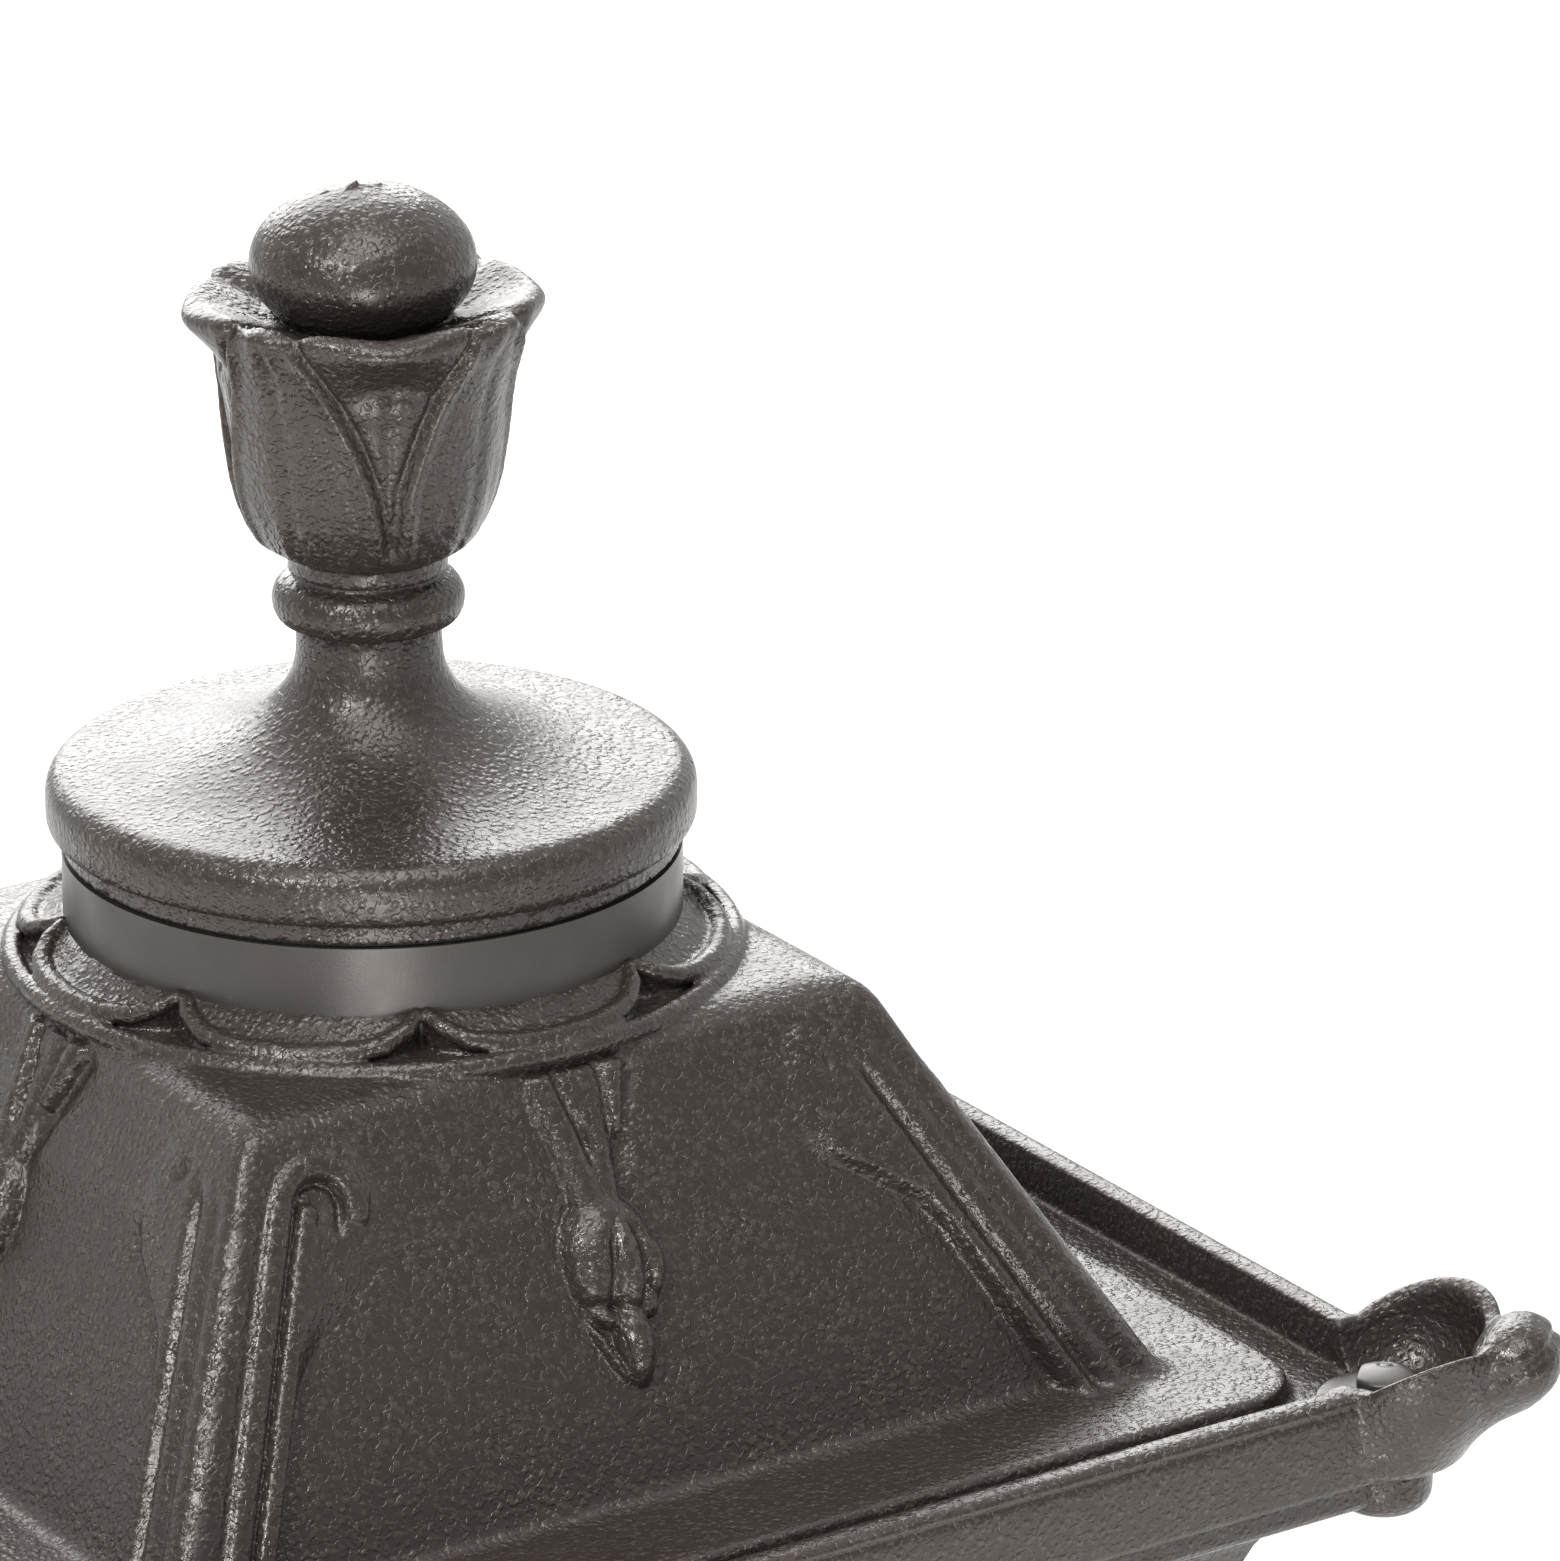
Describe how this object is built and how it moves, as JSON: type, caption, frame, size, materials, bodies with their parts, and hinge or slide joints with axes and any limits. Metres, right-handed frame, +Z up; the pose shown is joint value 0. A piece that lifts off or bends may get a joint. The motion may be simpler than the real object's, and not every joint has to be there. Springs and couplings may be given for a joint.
{
  "type": "outdoor lantern",
  "caption": "Square post-top garden lantern with a hipped canopy, corner shells, a tulip finial, a tapered glazed cage and a socket for a round post.",
  "frame": {"origin": "centre of the foot of the post socket, on the lantern's upright axis", "axes": "+Z up along the post, -Y through the front window, +X to the right"},
  "size_m": [0.2748, 0.2748, 0.4739],
  "materials": {
    "grained_resin": "dark warm grey resin with a fine moulded leather grain, satin",
    "smooth_resin": "the same resin, smooth moulded, satin",
    "clear_panel": "clear glazing sheet",
    "black_rubber": "soft seal rubber",
    "zinc_steel": "zinc plated",
    "brass": "plain brass",
    "porcelain": "white glazed electrical ceramic",
    "opal_bulb": "opal globe over a metal screw cap",
    "lead_cover": "brown and blue insulation"
  },
  "bodies": {
    "root": {"finial_cap": "grained_resin", "cap_screws": "zinc_steel", "cap_seal": "black_rubber", "chimney_collar": "smooth_resin", "canopy": "grained_resin", "canopy_gasket": "black_rubber", "cage": "grained_resin", "glass_front": "clear_panel", "glass_back": "clear_panel", "glass_left": "clear_panel", "glass_right": "clear_panel", "corner_strip_front_left": "smooth_resin", "corner_strip_front_right": "smooth_resin", "corner_strip_back_left": "smooth_resin", "corner_strip_back_right": "smooth_resin", "strip_screws": "zinc_steel", "base_gasket": "black_rubber", "base_tray": "grained_resin", "base_screws": "zinc_steel", "post_screws": "zinc_steel", "lamp_bracket": "zinc_steel", "bracket_screws": "zinc_steel", "stem_tube": "zinc_steel", "stem_nuts": "brass", "lampholder_body": "porcelain", "lampholder_shell": "brass", "centre_contact": "brass", "led_bulb": "opal_bulb", "terminal_block": "porcelain", "terminal_screws": "zinc_steel", "lamp_leads": "lead_cover", "cable_grommet": "black_rubber"},
    "peg_front_right": {"lock_peg_front_right": "smooth_resin"},
    "peg_back_right": {"lock_peg_back_right": "smooth_resin"},
    "peg_back_left": {"lock_peg_back_left": "smooth_resin"},
    "peg_front_left": {"lock_peg_front_left": "smooth_resin"}
  },
  "joints": [
    {"name": "peg_turn_front_right", "type": "hinge", "parent": "root", "child": "peg_front_right", "pos_m": [0.1143, -0.1143, 0.283], "axis": [0, 0, 1], "range_deg": [0, 90]},
    {"name": "peg_turn_back_right", "type": "hinge", "parent": "root", "child": "peg_back_right", "pos_m": [0.1143, 0.1143, 0.283], "axis": [0, 0, 1], "range_deg": [0, 90]},
    {"name": "peg_turn_back_left", "type": "hinge", "parent": "root", "child": "peg_back_left", "pos_m": [-0.1143, 0.1143, 0.283], "axis": [0, 0, 1], "range_deg": [0, 90]},
    {"name": "peg_turn_front_left", "type": "hinge", "parent": "root", "child": "peg_front_left", "pos_m": [-0.1143, -0.1143, 0.283], "axis": [0, 0, 1], "range_deg": [0, 90]}
  ]
}
